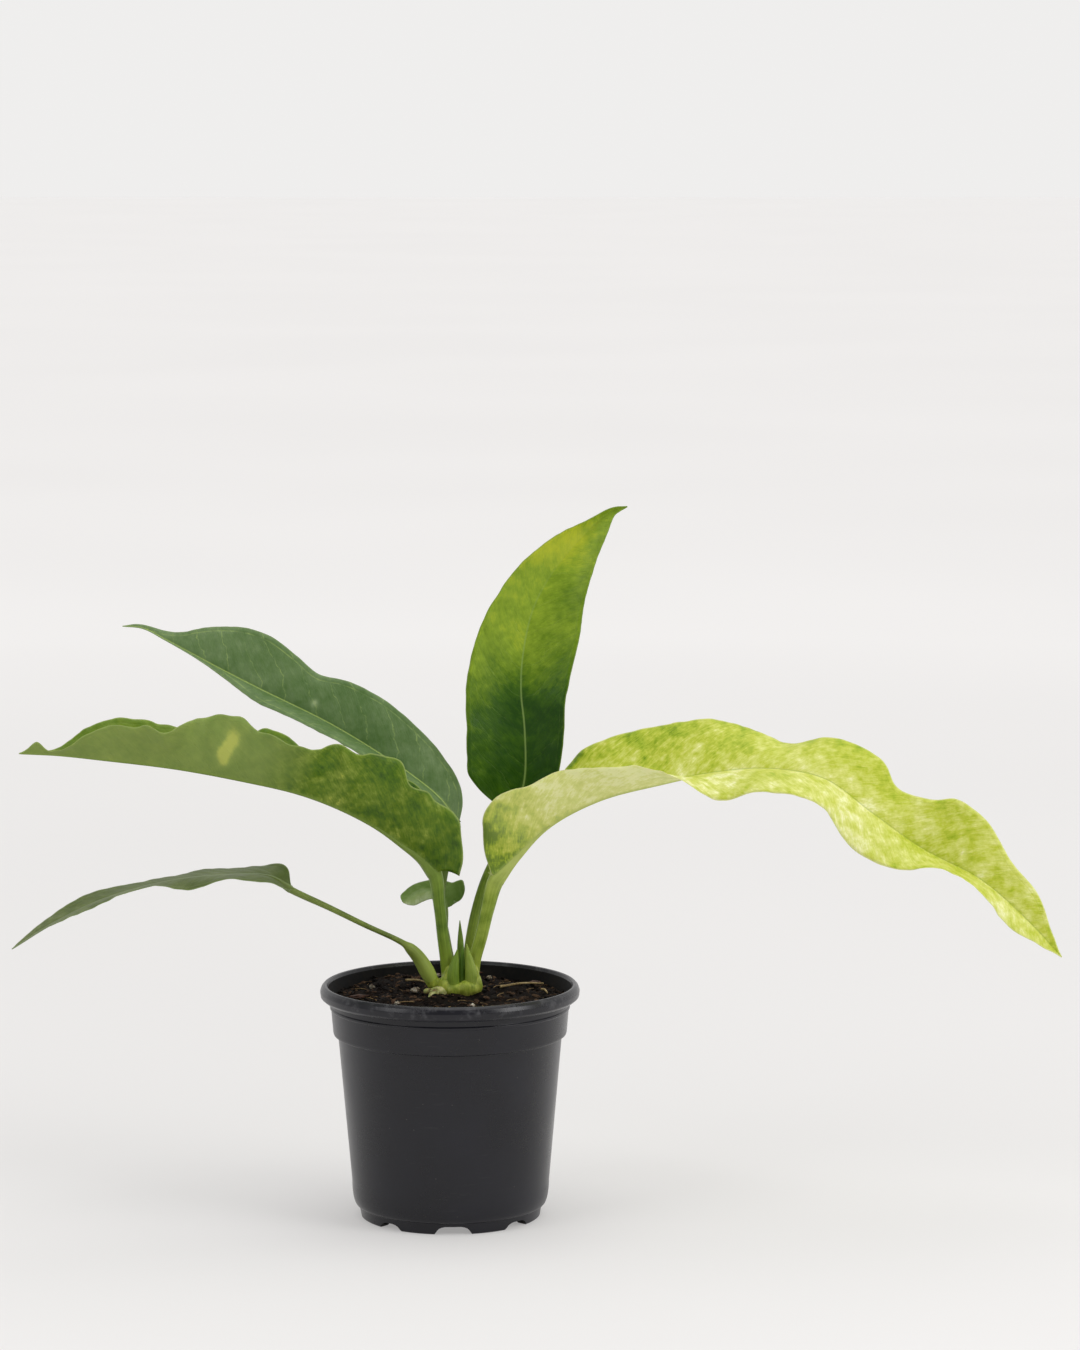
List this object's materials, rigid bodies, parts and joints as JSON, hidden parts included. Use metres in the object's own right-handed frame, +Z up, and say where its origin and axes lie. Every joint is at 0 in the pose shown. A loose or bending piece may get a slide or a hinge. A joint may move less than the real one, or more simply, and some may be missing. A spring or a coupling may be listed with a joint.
{
  "type": "potted foliage anthurium",
  "caption": "Foliage anthurium with long wavy lance-shaped leaves, some marbled yellow-green, rising from a low crown with roots in peat, in a round black nursery pot.",
  "frame": {"origin": "centre of the pot's base, at the surface the pot stands on", "axes": "+Z up; +X towards the side where the longest, marbled leaf arches out; -Y towards the front of the plant"},
  "size_m": [0.5933, 0.1528, 0.4081],
  "materials": {
    "pot_plastic": "satin",
    "peat": "matte",
    "crown_skin": "satin",
    "stem_skin": "satin",
    "scale_skin": "satin",
    "leaf_marbled": "satin",
    "leaf_green": "satin",
    "leaf_dull_green": "satin",
    "perlite": "matte",
    "bark": "matte",
    "straw": "matte"
  },
  "bodies": {
    "root": {"pot": "pot_plastic", "peat": "peat", "crown": "crown_skin", "new_spear": "scale_skin", "scale_left": "scale_skin", "scale_right": "scale_skin", "scale_back": "scale_skin", "petiole_right": "stem_skin", "petiole_upright": "stem_skin", "petiole_back_left": "stem_skin", "petiole_front_left": "stem_skin", "petiole_low_left": "stem_skin", "petiole_young": "stem_skin", "blade_right": "leaf_marbled", "blade_upright": "leaf_green", "blade_front_left": "leaf_green", "blade_back_left": "leaf_dull_green", "blade_low_left": "leaf_dull_green", "blade_young": "leaf_dull_green", "perlite_1": "perlite", "perlite_2": "perlite", "perlite_3": "perlite", "perlite_4": "perlite", "perlite_5": "perlite", "perlite_6": "perlite", "bark_chip_1": "bark", "bark_chip_2": "bark", "bark_chip_3": "bark", "bark_chip_4": "bark", "bark_chip_5": "bark", "straw_1": "straw", "straw_2": "straw", "straw_3": "straw"}
  },
  "joints": []
}
